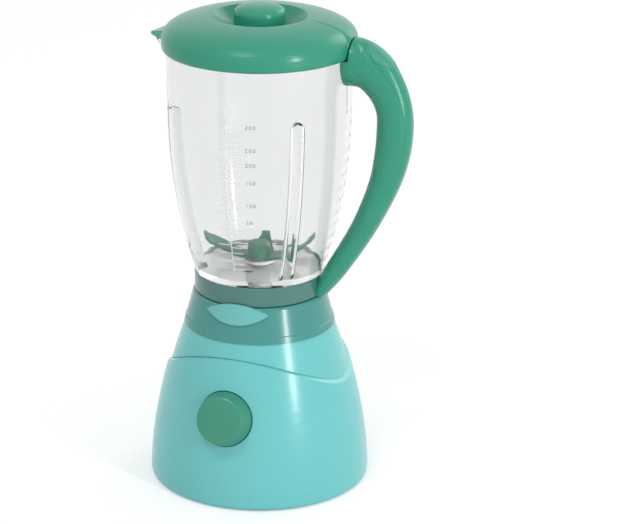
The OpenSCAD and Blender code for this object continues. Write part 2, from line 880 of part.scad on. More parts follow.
module gear_plate() {
    color(WHITE)
    difference() {
        translate([0, 2, gear_plate_z]) cylinder(h = gear_plate_t, r = gear_plate_r);
        translate([0, 0, gear_plate_z - 1]) cylinder(h = gear_plate_t + 2, r = shaft_r + run_gap);
        translate([0, centre_d, gear_plate_z - 1]) cylinder(h = gear_plate_t + 2, r = 3);
        at_posts() translate([0, 0, gear_plate_z - 1]) cylinder(h = gear_plate_t + 2, r = screw_r + 0.2);
        for (sx = [-1, 1])
            translate([sx * 7, centre_d, gear_plate_z - 1])
                cylinder(h = gear_plate_t + 2, r = screw_r + 0.2);
    }
}

module gear_screws() {
    color(STEEL) at_posts() translate([0, 0, gear_plate_z]) screw(gear_plate_t + 6);
}

module drive_gear() {
    boss_top = gear_z + gear_w + 2;
    color(WHITE)
    difference() {
        union() {
            translate([0, 0, gear_z])
                linear_extrude(gear_w)
                    rotate(90)
                        gear_outline(gear_teeth);
            translate([0, 0, gear_plate_z + gear_plate_t + end_gap])
                cylinder(h = boss_top - gear_plate_z - gear_plate_t - end_gap, r = shaft_r + 2);
        }
        translate([0, 0, gear_plate_z]) cylinder(h = boss_top - gear_plate_z + 1, r = shaft_r);
    }
}

module drive_shaft() {
    color(STEEL)
        translate([0, 0, gear_plate_z - 3])
            cylinder(h = dog_z + 1.5 - gear_plate_z + 3, r = shaft_r);
}

module drive_clip() {
    color(STEEL)
        translate([0, 0, gear_plate_z - end_gap - 0.8])
            difference() {
                cylinder(h = 0.8, r = shaft_r + 1.8);
                translate([0, 0, -1]) cylinder(h = 3, r = shaft_r);
            }
}

module drive_bush() {
    color(WHITE)
    difference() {
        union() {
            translate([0, 0, deck_bottom - 3]) cylinder(h = deck_t + 3 + 4, r = bush_r);
            translate([0, 0, base_h]) cylinder(h = 1.5, r = bush_r + 2);
        }
        translate([0, 0, deck_bottom - 4]) cylinder(h = deck_t + 12, r = shaft_r + run_gap);
    }
}

// the lugs of a coupling dog, sunk a little into its disc and set in from its edge
lug_inset = 0.4;
module lug_ring(z, turn) {
    for (i = [0 : lugs - 1])
        rotate([0, 0, turn + 360 * i / lugs - lug_angle / 2])
            rotate_extrude(angle = lug_angle)
                translate([shaft_r + 2, z])
                    square([dog_r - lug_inset - shaft_r - 2, lug_h + merge]);
}

module drive_dog() {
    color(DARK)
    difference() {
        union() {
            translate([0, 0, dog_z]) cylinder(h = dog_t, r = dog_r);
            lug_ring(lug_z - merge, 0);
        }
        translate([0, 0, dog_z - 1]) cylinder(h = 2.5, r = shaft_r);
    }
}

module blade_dog() {
    color(DARK)
    difference() {
        union() {
            translate([0, 0, blade_dog_z]) cylinder(h = dog_t, r = dog_r);
            lug_ring(blade_dog_z - lug_h, 180 / lugs);
        }
        translate([0, 0, blade_dog_top - 1.5]) cylinder(h = 2.5, r = shaft_r);
    }
}

module lamp() {
    top_z = ring_floor_z + ring_floor_t;
    stem_z = deck_bottom;
    color([1.0, 0.72, 0.2, 0.8])
    rotate([0, 0, lamp_a])
        translate([lamp_r, 0, 0]) {
            translate([0, 0, stem_z]) cylinder(h = top_z - lamp_bulb_r - stem_z, r = lamp_bulb_r);
            translate([0, 0, top_z - lamp_bulb_r]) sphere(r = lamp_bulb_r);
        }
}

/* ---------- collar ---------- */

module collar() {
    color(SMOKE)
    difference() {
        union() {
            rotate_extrude()
                polygon([
                    [collar_foot_r - collar_wall - 1, base_h],
                    [collar_foot_r, base_h],
                    [collar_out(band_top - 0.2) + band_step, band_top - 0.2],
                    [collar_out(band_top + 0.1), band_top + 0.1],
                    [collar_out(collar_top - 1), collar_top - 1],
                    [collar_top_r - 0.6, collar_top],
                    [collar_in_r, collar_top],
                    [collar_in_r, seat_floor_top],
                    [collar_in_r - 3, seat_floor_top],
                    [collar_in_r - 3, seat_floor_z],
                    [collar_out(seat_floor_z) - collar_wall, seat_floor_z]
                ]);
            translate([0, 0, seat_floor_z]) cylinder(h = seat_floor_t, r = collar_in_r);
            at_collar_bosses()
                translate([0, 0, base_h])
                    cylinder(h = seat_floor_h + merge, r = collar_boss_r);
        }
        translate([0, 0, seat_floor_z - 1]) cylinder(h = seat_floor_t + 2, r = dog_r + 1);
        rotate([0, 0, lamp_a])
            translate([lamp_r, 0, seat_floor_z - 1])
                cylinder(h = seat_floor_t + 2, r = lamp_bulb_r + 0.3);
        at_collar_bosses() translate([0, 0, base_h - 1]) cylinder(h = 7, r = screw_r);
    }
}

module collar_screws() {
    color(STEEL) at_collar_bosses() translate([0, 0, deck_bottom]) screw(deck_t + 4.5);
}

module badge() {
    low_z = badge_z - badge_half_h - 1;
    high_z = badge_z + badge_half_h + 1;
    color(BADGE_TEAL)
    intersection() {
        difference() {
            translate([0, 0, low_z])
                cylinder(h = high_z - low_z, r1 = collar_out(low_z) + badge_t, r2 = collar_out(high_z) + badge_t);
            translate([0, 0, low_z - 1])
                cylinder(h = collar_top - low_z + 1, r1 = collar_out(low_z - 1), r2 = collar_out(collar_top));
            translate([0, 0, collar_top - 0.01]) cylinder(h = 3, r = collar_top_r);
            translate([0, 0, collar_top - 1.2]) cylinder(h = far, r = ring_r + lift_gap);
        }
        translate([0, 0, badge_z])
            rotate([90, 0, 0])
                linear_extrude(far / 2)
                    intersection() {
                        translate([0, badge_arc_r - badge_half_h]) circle(badge_arc_r);
                        translate([0, badge_half_h - badge_arc_r]) circle(badge_arc_r);
                    }
    }
}

/* ---------- jug ---------- */

module jug_foot() {
    spigot_z = seat_floor_top + seat_gap;
    color(SMOKE)
    difference() {
        union() {
            rotate_extrude()
                polygon([
                    [ring_r - ring_wall - 2, ring_z],
                    [ring_r - 0.8, ring_z],
                    [ring_r, ring_z + 0.8],
                    [ring_r, jug_z - 0.6],
                    [ring_r - 0.6, jug_z],
                    [ring_r - ring_wall, jug_z],
                    [ring_r - ring_wall, ring_z + 1.6],
                    [ring_r - ring_wall - 2, ring_z + 1.6]
                ]);
            translate([0, 0, spigot_z])
                difference() {
                    cylinder(h = ring_z + 1.5 - spigot_z, r = spigot_r);
                    translate([0, 0, -1]) cylinder(h = far, r = spigot_r - ring_wall);
                }
            translate([0, 0, ring_floor_z]) cylinder(h = ring_floor_t, r = ring_r - ring_wall + merge);
            translate([0, 0, blade_bush_z + 1]) cylinder(h = jug_z - blade_bush_z - 1, r = bush_r + 2);
        }
        translate([0, 0, blade_bush_z]) cylinder(h = jug_z - blade_bush_z + 1, r = bush_r);
        rotate([0, 0, lamp_a])
            translate([lamp_r, 0, ring_floor_z - 1])
                cylinder(h = ring_floor_t + 2, r = lamp_bulb_r + lift_gap);
        handle_screw_place() translate([0, 0, -2]) cylinder(h = 8, r = screw_r + 0.2);
    }
}

rib_line_r = jug_flank_r - jug_wall - rib_r * 0.25;
// the directions of the ribs: the first two stand at the front, one each side
rib_at = [315, 216, 45, 144];
module jug_rib() {
    centre_x = jug_mouth_r - jug_flank_r;
    centre_z = jug_z + jug_flank_h;
    low_a = asin((jug_flank_h - jug_floor_t + 1) / rib_line_r);
    top_a = asin((jug_flank_h - rib_h) / rib_line_r);
    translate([centre_x, 0, centre_z])
        rotate([90, 0, 0]) {
            rotate([0, 0, -low_a])
                rotate_extrude(angle = low_a - top_a)
                    translate([rib_line_r, 0])
                        circle(rib_r, $fn = 32);
            rotate([0, 0, -top_a])
                translate([rib_line_r, 0, 0])
                    sphere(rib_r - 0.15, $fn = 32);
        }
}

// a cone that lies on its side with its point at the tip of the pouring lip;
// the plane of the jug's mouth cuts it open along the top
lip_tilt = 8;
lip_spread = atan(lip_h / lip_reach) - lip_tilt;
module lip_cone(shrink) {
    tip_x = -(jug_mouth_r + lip_reach);
    length = 30;
    translate([tip_x + shrink / sin(lip_spread + lip_tilt), 0, jug_top])
        rotate([0, 90 + lip_tilt, 0])
            cylinder(h = length, r1 = 0.01, r2 = length * tan(lip_spread));
}

module jug_bulk(inset, z_low, z_high) {
    steps = profile_steps + 4;
    side = [
        for (i = [0 : steps])
            let (z = z_low + (z_high - z_low) * i / steps)
            [jug_out(z) - inset, z]
    ];
    rotate_extrude() polygon(concat([[0, z_low]], side, [[0, z_high]]));
}

module jug() {
    lip_z = jug_top - lip_h;
    color(CLEAR)
    difference() {
        union() {
            jug_bulk(0, jug_z, jug_top);
            intersection() {
                lip_cone(0);
                translate([-far / 2, -far / 2, lip_z]) cube([far / 2, far, lip_h]);
            }
        }
        difference() {
            jug_bulk(jug_wall, floor_top, jug_top + 1);
            for (i = [0 : ribs - 1])
                rotate([0, 0, rib_at[i]])
                    jug_rib();
        }
        intersection() {
            lip_cone(jug_wall);
            translate([-far / 2, -far / 2, lip_z + jug_wall]) cube([far / 2 - 20, far, lip_h + 1]);
        }
        translate([0, 0, jug_z - 1]) cylinder(h = jug_floor_t + 2, r = bush_r);
    }
}

// an upright line with coarse marks to its left and fine marks to its right
module jug_scale() {
    first_z = jug_z + 11;
    line_w = 0.5;
    coarse_l = 7;
    fine_l = 6;
    scale_h = (marks - 1) * mark_pitch;
    color(WHITE)
    intersection() {
        difference() {
            jug_bulk(-mark_t, jug_z, jug_top);
            jug_bulk(0, jug_z, jug_top);
        }
        translate([0, 0, first_z])
            rotate([90, 0, 0])
                linear_extrude(far / 2) {
                    translate([-line_w / 2, -1]) square([line_w, scale_h + 2]);
                    for (i = [0 : marks - 1])
                        translate([-coarse_l, i * mark_pitch]) square([coarse_l, line_w]);
                    for (i = [0 : fine_marks - 1])
                        translate([0, scale_h * i / (fine_marks - 1)]) square([fine_l, line_w]);
                    translate([-coarse_l / 2, scale_h + 8]) square([coarse_l, line_w]);
                }
    }
}

module blade_bush() {
    color(DARK)
    difference() {
        union() {
            translate([0, 0, blade_bush_z]) cylinder(h = floor_top + 0.5 - blade_bush_z, r = bush_r);
            translate([0, 0, floor_top]) cylinder(h = bush_flange_t, r = bush_flange_r);
        }
        translate([0, 0, blade_bush_z - 1]) cylinder(h = far / 4, r = shaft_r + run_gap);
    }
}

module blade_shaft() {
    color(STEEL)
        translate([0, 0, blade_dog_top - 1.5])
            cylinder(h = hub_z + hub_h - 2 - blade_dog_top + 1.5, r = shaft_r);
}

// one arm: a strip that leaves the hub level and curves up to its tip.
// reach is measured from the axis, rise from the strip's lowest line
module blade_arm(reach, rise, width) {
    run = reach - hub_r + 1;
    bend_r = (run * run + rise * rise) / (2 * rise);
    tip_l = width * 0.9;
    intersection() {
        translate([hub_r - 1, 0, 0])
            rotate([90, 0, 0])
                translate([0, 0, -width / 2])
                    linear_extrude(width)
                        intersection() {
                            difference() {
                                translate([0, bend_r]) circle(bend_r, $fn = 180);
                                translate([0, bend_r]) circle(bend_r - arm_t, $fn = 180);
                            }
                            square([run, rise + arm_t]);
                        }
        translate([0, 0, -1])
            linear_extrude(rise + 8)
                polygon([
                    [0, -width * 0.36],
                    [reach - tip_l, -width / 2],
                    [reach, -width * 0.08],
                    [reach - 0.3, width * 0.22],
                    [reach - tip_l * 0.45, width * 0.46],
                    [0, width * 0.36]
                ]);
    }
}

module blade() {
    arm_z = hub_z + 1;
    turn = 6;
    color(GREEN)
    difference() {
        union() {
            translate([0, 0, hub_z]) cylinder(h = hub_h - 1.2, r = hub_r);
            translate([0, 0, hub_z + hub_h - 1.2]) cylinder(h = 1.2, r1 = hub_r, r2 = hub_r - 1.2);
            translate([0, 0, arm_z]) {
                rotate([0, 0, turn]) blade_arm(0.97 * blade_reach, blade_rise, arm_w);
                rotate([0, 0, turn + 180]) blade_arm(blade_reach, 0.77 * blade_rise, arm_w);
                rotate([0, 0, turn + 270]) blade_arm(0.62 * blade_reach, 0.92 * blade_rise, arm_w);
                rotate([0, 0, turn + 90]) blade_arm(0.59 * blade_reach, 0.46 * blade_rise, arm_w);
            }
        }
        translate([0, 0, hub_z - 1]) cylinder(h = hub_h - 1, r = shaft_r);
    }
}

/* ---------- handle ---------- */

// rings across the grip; part 1 is the grip itself, part 2 the strip along its back,
// part 3 the crown that closes the grip above, before the strip begins
grip_sides = 20;
grip_squareness = 0.82;
function grip_ring(row, next, part, f) =
    let (
        d = [next[0] - row[0], next[1] - row[1]],
        n = [d[1], -d[0]] / norm(d) * -1,
        edge = acos(row[4]),
        edge_y = pow(sin(edge), grip_squareness) * row[3],
        narrow = part == 2 ? 1 - strip_step * max(0, 1 - f * 1.35) / edge_y : 1,
        from = part == 1 ? edge : -edge,
        to = part == 1 ? 360 - edge : edge
    )
    [for (k = [0 : grip_sides - 1])
        let (
            a = to + (from - to) * k / (grip_sides - 1),
            e = row[2] * cos(a),
            y = sign(sin(a)) * pow(abs(sin(a)), grip_squareness) * row[3] * narrow
        )
        [row[0] + n[0] * e, y, row[1] + n[1] * e]];

grip_steps = 4;
grip_last = (len(grip_points) - 1) * grip_steps;
strip_first = grip_steps + 1;
function grip_row(s) =
    s >= grip_last
        ? grip_points[len(grip_points) - 1]
        : spline(grip_points, floor(s / grip_steps), (s % grip_steps) / grip_steps);

module grip_sweep(part, first, last) {
    skin_rings([
        for (s = [first : last])
            let (
                row = grip_row(s),
                ahead = s < grip_last ? grip_row(s + 1) : 2 * row - grip_row(s - 1)
            )
            grip_ring(row, ahead, part, s / grip_last)
    ]);
}

// what the handle must keep clear of: the jug, its foot ring and the lid with its tongue
module handle_room() {
    jug_bulk(0, jug_z - 0.01, jug_top + 0.01);
    translate([0, 0, ring_z - 5]) cylinder(h = ring_h + 5.01, r = ring_r);
    translate([0, 0, lid_foot - lift_gap]) cylinder(h = 40, r = tongue_r + tongue_gap);
    translate([0, -far / 2, grip_end_z - 40]) cube([far, far, 40]);
}

module handle_screw_place() {
    translate([ring_r - ring_wall - 0.1, 0, ring_z + 4.3])
        rotate([0, 90, 0])
            children();
}

module handle() {
    color(GREEN)
    difference() {
        union() {
            grip_sweep(1, 0, grip_last);
            grip_sweep(3, 0, strip_first);
        }
        handle_room();
        handle_screw_place() cylinder(h = 4.2, r = screw_r);
    }
}

module handle_strip() {
    color(GREEN)
    difference() {
        grip_sweep(2, strip_first, grip_last);
        handle_room();
    }
}

module handle_screw() {
    color(STEEL) handle_screw_place() screw(4);
}

/* ---------- lid ---------- */

// the tongue ends just beyond the lid's widest line, and its top falls towards that end
tongue_r = lid_r + 0.1;
function tongue_top(r) = lid_top - 0.1 - tongue_drop * pow((r - dish_r) / (tongue_r - dish_r), 2.4);

// the lid's top as a curve from its widest line to the edge of the dished hollow
lid_steps = 20;
widest_z = jug_top + 1;
lid_dome = [
    for (i = [0 : lid_steps])
        let (a = 90 * i / lid_steps)
        [
            dish_r + (lid_r - dish_r) * pow(cos(a), 1.28),
            widest_z + (lid_top - widest_z) * pow(sin(a), 0.62)
        ]
];
// the hollow, from its edge down to the flat around the cap
lid_dish = [
    for (i = [1 : 8])
        let (t = i / 8)
        [dish_r - (dish_r - cap_r - 1.5) * t, dish_z + dish_depth * pow(1 - t, 1.6)]
];

// the tongue rises out of the dome and ends in front of the handle, with the handle's outline:
// a ring across it at the distance r
function tongue_ring(r) =
    let (
        t = (r - dish_r - 1) / (tongue_r - dish_r - 1),
        half_w = 3 + (grip_root_w - 3) * t,
        low_z = lid_top - 8 + (grip_root_z - lid_top + 8) * t,
        top_z = tongue_top(r)
    )
    [for (k = [0 : grip_sides])
        let (a = 90 - 180 * k / grip_sides)
        [r, sign(a) * pow(abs(sin(a)), grip_squareness) * half_w, low_z + (top_z - low_z) * cos(a)]];

module lid_tongue() {
    under = offset_line(lid_dome, -lid_wall / 2);
    intersection() {
        rotate_extrude()
            polygon(concat(
                [for (i = [lid_steps : -1 : 0]) under[i]],
                [[tongue_r, widest_z], [tongue_r, lid_top + 1], [dish_r + 2, lid_top + 1]]
            ));
        skin_rings([for (i = [0 : 6]) tongue_ring(dish_r + 1 + (tongue_r + 0.5 - dish_r - 1) * i / 6)]);
    }
}

// the pointed cover over the pouring lip
module lip_cover() {
    tip_x = -(jug_mouth_r + lip_reach + 1.6);
    root_x = -(lid_r - 5);
    half_w = 14.4;
    tip_t = 1.5;
    translate([0, 0, lid_seat])
        intersection() {
            linear_extrude(6)
                polygon([
                    [root_x, -half_w],
                    [tip_x, -0.6],
                    [tip_x, 0.6],
                    [root_x, half_w]
                ]);
            translate([tip_x, -far / 2, tip_t])
                rotate([0, -20, 0])
                    translate([-20, 0, -20])
                        cube([80, far, 20]);
        }
}

module lid() {
    plug_out_r = jug_mouth_r - jug_wall - lift_gap;
    plug_in_r = plug_out_r - 1.8;
    tube_r = filler_r + 1.8;
    tube_z = dish_z - cap_plug_h;
    outside = concat(lid_dome, lid_dish);
    inside = offset_line(outside, -lid_wall);
    color(GREEN)
    difference() {
        union() {
            // skirt, dome and hollow as one turned wall
            rotate_extrude()
                polygon(concat(
                    [
                        [lid_r - lid_wall, lid_foot],
                        [lid_r - 0.9, lid_foot],
                        [lid_r - 0.25, lid_foot + 0.9]
                    ],
                    outside,
                    [
                        [filler_r, dish_z],
                        [filler_r, tube_z],
                        [tube_r, tube_z],
                        [tube_r, dish_z - lid_wall]
                    ],
                    [for (i = [len(inside) - 1 : -1 : 0]) inside[i]]
                ));
            // plug ring inside the jug's mouth
            rotate_extrude()
                polygon([
                    [plug_in_r, jug_top - plug_h],
                    [plug_out_r, jug_top - plug_h + 0.6],
                    [plug_out_r, lid_seat],
                    [lid_r - 1, lid_seat],
                    [lid_r - 1, lid_seat + lid_wall],
                    [plug_in_r, lid_seat + lid_wall]
                ]);
            lid_tongue();
            lip_cover();
        }
        // room for the pouring lip
        difference() {
            intersection() {
                lip_cone(-lift_gap);
                translate([-far / 2, -far / 2, lid_foot - 1])
                    cube([far / 2, far, lid_seat + 1 - lid_foot]);
            }
            translate([0, 0, lid_foot - 2]) cylinder(h = 10, r = plug_out_r + 0.5);
        }
    }
}

module lid_cap() {
    in_r = filler_r - lift_gap - 1.6;
    top_z = cap_z + cap_h;
    dome_h = 4.6;
    dome = [
        for (i = [0 : 6])
            let (a = 90 * i / 6)
            [cap_r * pow(sin(a), 0.8), top_z - dome_h * (1 - pow(cos(a), 0.9))]
    ];
    color(GREEN)
    rotate_extrude()
        polygon(concat(
            dome,
            [
                [cap_r + 0.2, cap_z],
                [filler_r - lift_gap, cap_z],
                [filler_r - lift_gap, dish_z - cap_plug_h],
                [in_r, dish_z - cap_plug_h],
                [in_r, top_z - dome_h - 1.5],
                [0, top_z - 2.4]
            ]
        ));
}

base_lower();
base_upper();
bottom_cover();
base_screws();
base_pads();
battery_box();
battery_1();
battery_2();
battery_3();
contact_plates();
contact_springs();
battery_door();
door_screw();
speaker();
circuit_board();
button();
button_pad();
button_spring();
button_guide();
button_screws();
switch_board();
motor();
motor_screws();
motor_pinion();
gear_plate();
gear_screws();
drive_gear();
drive_shaft();
drive_clip();
drive_bush();
drive_dog();
lamp();
collar();
collar_screws();
badge();
jug_foot();
jug();
jug_scale();
blade_bush();
blade_shaft();
blade_dog();
blade();
handle();
handle_strip();
handle_screw();
lid();
lid_cap();
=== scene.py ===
import math

import bmesh
import bpy
from mathutils import Matrix, Vector


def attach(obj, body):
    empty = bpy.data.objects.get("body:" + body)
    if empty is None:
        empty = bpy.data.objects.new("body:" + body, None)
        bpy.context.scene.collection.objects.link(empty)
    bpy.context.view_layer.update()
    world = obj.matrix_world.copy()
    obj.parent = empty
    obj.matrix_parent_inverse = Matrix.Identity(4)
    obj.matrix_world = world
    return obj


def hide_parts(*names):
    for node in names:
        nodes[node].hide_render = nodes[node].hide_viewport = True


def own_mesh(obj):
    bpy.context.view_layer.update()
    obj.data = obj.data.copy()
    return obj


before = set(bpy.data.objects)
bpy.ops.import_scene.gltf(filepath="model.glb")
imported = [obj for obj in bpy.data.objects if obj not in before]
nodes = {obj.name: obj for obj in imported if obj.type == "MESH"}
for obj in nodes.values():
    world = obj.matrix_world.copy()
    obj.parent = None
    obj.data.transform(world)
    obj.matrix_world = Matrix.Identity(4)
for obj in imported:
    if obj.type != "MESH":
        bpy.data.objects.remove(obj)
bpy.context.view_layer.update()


# ---- Table and studio ------------------------------------------------------------
# The toy stands on a white table top in a plain white studio, which gives most of the
# light. A soft lamp above, a tall narrow one at the front right and a weak one behind
# add the shadow and the highlights.

class Wire:
    """One socket of a shader or geometry tree. Maths written with wires adds its nodes."""

    def __init__(self, tree, socket):
        self.tree = tree
        self.socket = socket

    def math(self, operation, *values):
        return add_node(
            self.tree, "ShaderNodeMath", {"operation": operation}, dict(enumerate(values)))

    def into(self, socket):
        self.tree.links.new(self.socket, socket)

    def __add__(self, other):
        return self.math("ADD", self, other)

    def __mul__(self, other):
        return self.math("MULTIPLY", self, other)

    __radd__ = __add__
    __rmul__ = __mul__


def add_node(tree, kind, settings=None, sockets=None, out=0):
    """Adds a node, sets it up, feeds its sockets and gives the wire from one output."""
    made = tree.nodes.new(kind)
    for name, value in (settings or {}).items():
        setattr(made, name, value)
    for name, value in (sockets or {}).items():
        if isinstance(value, Wire):
            value.into(made.inputs[name])
        else:
            made.inputs[name].default_value = value
    return Wire(tree, made.outputs[out])


def white_to_the_eye(tree, lit_strength):
    """Strength 1 where the camera, a gloss or clear plastic sees it, and else lit_strength."""
    ray = add_node(tree, "ShaderNodeLightPath").socket.node.outputs
    seen = Wire(tree, ray["Is Camera Ray"])
    for other in ("Is Glossy Ray", "Is Transmission Ray"):
        seen = seen.math("MAXIMUM", seen, Wire(tree, ray[other]))
    return seen * (1 - lit_strength) + lit_strength


def put(name, data):
    """A new object in the scene, at the origin."""
    made = bpy.data.objects.new(name, data)
    bpy.context.collection.objects.link(made)
    return made


studio_light = 0.72
table_half = 6.0
table_paint = 0.74
table_glow = 0.34

world = bpy.data.worlds.new("studio")
bpy.context.scene.world = world
world.use_nodes = True
sky = world.node_tree
background = sky.nodes["Background"].inputs
background["Color"].default_value = (1, 1, 1, 1)
white_to_the_eye(sky, studio_light).into(background["Strength"])

table_mesh = bpy.data.meshes.new("table_top")
table_mesh.from_pydata(
    [(-table_half, -table_half, 0), (table_half, -table_half, 0),
     (table_half, table_half, 0), (-table_half, table_half, 0)],
    [], [(0, 1, 2, 3)])
table_top = put("table_top", table_mesh)
table_white = bpy.data.materials.new("table_white")
table_white.use_nodes = True
table_tree = table_white.node_tree
table_tree.nodes.remove(table_tree.nodes["Principled BSDF"])
matt = add_node(
    table_tree, "ShaderNodeBsdfDiffuse", {}, {"Color": [table_paint] * 3 + [1]})
glow = add_node(
    table_tree, "ShaderNodeEmission", {},
    {"Color": (1, 1, 1, 1), "Strength": white_to_the_eye(table_tree, 0.0) * table_glow})
matt_and_glow = add_node(table_tree, "ShaderNodeAddShader", {}, {0: matt, 1: glow})
matt_and_glow.into(table_tree.nodes["Material Output"].inputs["Surface"])
table_mesh.materials.append(table_white)


def point_at(holder, place, aim):
    """Sets a lamp or the camera down at a place, turned towards its aim."""
    holder.location = place
    holder.rotation_euler = (Vector(aim) - Vector(place)).to_track_quat("-Z", "Y").to_euler()


def lamp_sheet(name, place, aim, width, height, power):
    light = bpy.data.lights.new(name, "AREA")
    light.shape = "RECTANGLE"
    light.size = width
    light.size_y = height
    light.energy = power
    point_at(put(name, light), place, aim)


toy_middle = (0, 0, 0.12)
base_middle = (0, 0, 0.1)
lamp_sheet("lamp_above", (-0.10, -0.90, 1.45), toy_middle, width=0.5, height=0.3, power=5.0)
lamp_sheet(
    "lamp_front_right", (1.15, -0.62, 0.42), base_middle, width=0.06, height=0.60, power=6.5)
lamp_sheet("lamp_behind", (0.6, 1.3, 0.9), toy_middle, width=0.8, height=0.8, power=4.0)

# the camera stands a little to the right of the front and looks 20 degrees down
camera = put("camera", bpy.data.cameras.new("camera"))
point_at(camera, (0.4476, -1.1971, 0.5829), (0, 0, 0.1178))
camera.data.sensor_width = 36
camera.data.lens = 145.6
camera.data.shift_x = 0.093
camera.data.clip_end = 50
bpy.context.scene.camera = camera
bpy.context.scene.view_settings.view_transform = "Standard"


# ---- Base shells -----------------------------------------------------------------
# Two tapered shells of glossy teal ABS meet along a curved seam. Screws run through the
# bottom cover into pillars of the upper shell. The moulded plastic has a faint
# cloudiness in its colour and a very fine orange peel.

def screen(red, green, blue):
    """A colour as it is read off a screen, 0 to 255, as the linear colour that shaders take."""
    level = [c / 255 for c in (red, green, blue)]
    return [c / 12.92 if c <= 0.04045 else ((c + 0.055) / 1.055) ** 2.4 for c in level] + [1]


def surface(name):
    """A new material, its tree, its main shader and the place on the object in metres."""
    made = bpy.data.materials.new(name)
    made.use_nodes = True
    tree = made.node_tree
    place = add_node(tree, "ShaderNodeTexCoord", out="Object")
    return made, tree, tree.nodes["Principled BSDF"], place


def speckle(tree, place, size, detail=2.0):
    """Soft noise from 0 to 1, with blotches of about that size in metres."""
    return add_node(
        tree, "ShaderNodeTexNoise", {},
        {"Vector": place, "Scale": 1 / size, "Detail": detail, "Roughness": 0.5})


def clouded(shader, noise, colour, darkest, palest):
    """Base Color drifts with the noise between two shades of one colour."""
    dark, pale = ([c * factor for c in colour[:3]] + [1] for factor in (darkest, palest))
    drift = add_node(
        noise.tree, "ShaderNodeMix", {"data_type": "RGBA"}, {0: noise, 6: dark, 7: pale}, out=2)
    drift.into(shader.inputs["Base Color"])


def uneven_gloss(shader, middle, *swings):
    """Roughness swings about its middle, by one range for each noise."""
    level = middle - sum(swing for noise, swing in swings) / 2
    for noise, swing in swings:
        level = noise * swing + level
    level.into(shader.inputs["Roughness"])


def shallow_relief(shader, noise, strength, depth):
    """The noise raises the surface a little, in the shading alone."""
    bump = add_node(
        noise.tree, "ShaderNodeBump", {},
        {"Strength": strength, "Distance": depth, "Height": noise})
    bump.into(shader.inputs["Normal"])


def moulded(name, colour, gloss=0.30, cloud=0.05, peel=0.03, peel_size=0.0011, **fixed):
    """Injection-moulded plastic: cloudy colour, uneven gloss and a fine orange peel."""
    made, tree, shader, place = surface(name)
    wide = speckle(tree, place, size=0.022)
    fine = speckle(tree, place, size=peel_size, detail=1.0)
    clouded(shader, wide, colour, darkest=1 - cloud, palest=1 + cloud)
    uneven_gloss(shader, gloss, (fine, 0.03), (wide, 0.08))
    shallow_relief(shader, fine, strength=peel, depth=0.0002)
    for socket, value in fixed.items():
        shader.inputs[socket.replace("_", " ")].default_value = value
    return made


def finish_nodes(material, slot, *names):
    """Carried-over CAD pieces that take this finish."""
    for name in names:
        piece = nodes[name]
        piece.data.materials.clear()
        piece.data.materials.append(material)


base_teal = moulded("base_teal", screen(104, 191, 190), gloss=0.23, cloud=0.02)
finish_nodes(base_teal, "shell_teal", "base_lower", "base_upper", "bottom_cover", "battery_door")


# ---- Batteries and their contacts ------------------------------------------------
# Three cells in plain dark wraps lie side by side in the white plastic battery box.
# Nickel plates and conical coil springs press on their ends.

def brushed_metal(name, colour, gloss=0.3, grain=0.0006):
    """Bare metal with a fine uneven grain."""
    made, tree, shader, place = surface(name)
    wide = speckle(tree, place, size=0.006)
    fine = speckle(tree, place, size=grain, detail=3.0)
    clouded(shader, wide, colour, darkest=0.9, palest=1.05)
    uneven_gloss(shader, gloss, (fine, 0.18))
    shallow_relief(shader, fine, strength=0.12, depth=0.0001)
    shader.inputs["Metallic"].default_value = 1.0
    return made


steel = brushed_metal("steel", screen(196, 198, 202))
battery_wrap = moulded("battery_wrap", screen(52, 56, 64), gloss=0.25, cloud=0.08)
white_plastic = moulded("white_plastic", screen(228, 228, 224), gloss=0.40, cloud=0.03)
finish_nodes(white_plastic, "white_plastic", "battery_box")
finish_nodes(steel, "steel", "contact_plates", "base_screws", "door_screw")
finish_nodes(battery_wrap, "battery_wrap", "battery_1", "battery_2", "battery_3")

# one geometry tree winds the wire of every spring
spring_tree = bpy.data.node_groups.new("wound_wire", "GeometryNodeTree")
spring_tree.interface.new_socket("Geometry", in_out="INPUT", socket_type="NodeSocketGeometry")
spring_sizes = {
    label: spring_tree.interface.new_socket(
        label, in_out="INPUT", socket_type="NodeSocketFloat").identifier
    for label in ("Turns", "Low radius", "High radius", "Height", "Wire radius")}
spring_tree.interface.new_socket("Geometry", in_out="OUTPUT", socket_type="NodeSocketGeometry")
given = spring_tree.nodes.new("NodeGroupInput")
given_size = {label: Wire(spring_tree, given.outputs[label]) for label in spring_sizes}
spiral = add_node(spring_tree, "GeometryNodeCurveSpiral", {}, {
    "Resolution": 40, "Rotations": given_size["Turns"], "Height": given_size["Height"],
    "Start Radius": given_size["Low radius"], "End Radius": given_size["High radius"]})
wire_section = add_node(spring_tree, "GeometryNodeCurvePrimitiveCircle", {}, {
    "Resolution": 10, "Radius": given_size["Wire radius"]})
wound_mesh = add_node(spring_tree, "GeometryNodeCurveToMesh", {}, {
    "Curve": spiral, "Profile Curve": wire_section, "Fill Caps": True})
realized = add_node(spring_tree, "GeometryNodeRealizeInstances", {}, {"Geometry": wound_mesh})
coated = add_node(
    spring_tree, "GeometryNodeSetMaterial", {}, {"Geometry": realized, "Material": steel})
coated.into(spring_tree.nodes.new("NodeGroupOutput").inputs[0])


def baked(maker):
    """The mesh that a curve, a text or a modifier makes. The object that made it goes."""
    bpy.context.view_layer.update()
    mesh = bpy.data.meshes.new_from_object(
        maker.evaluated_get(bpy.context.evaluated_depsgraph_get()))
    bpy.data.objects.remove(maker)
    return mesh


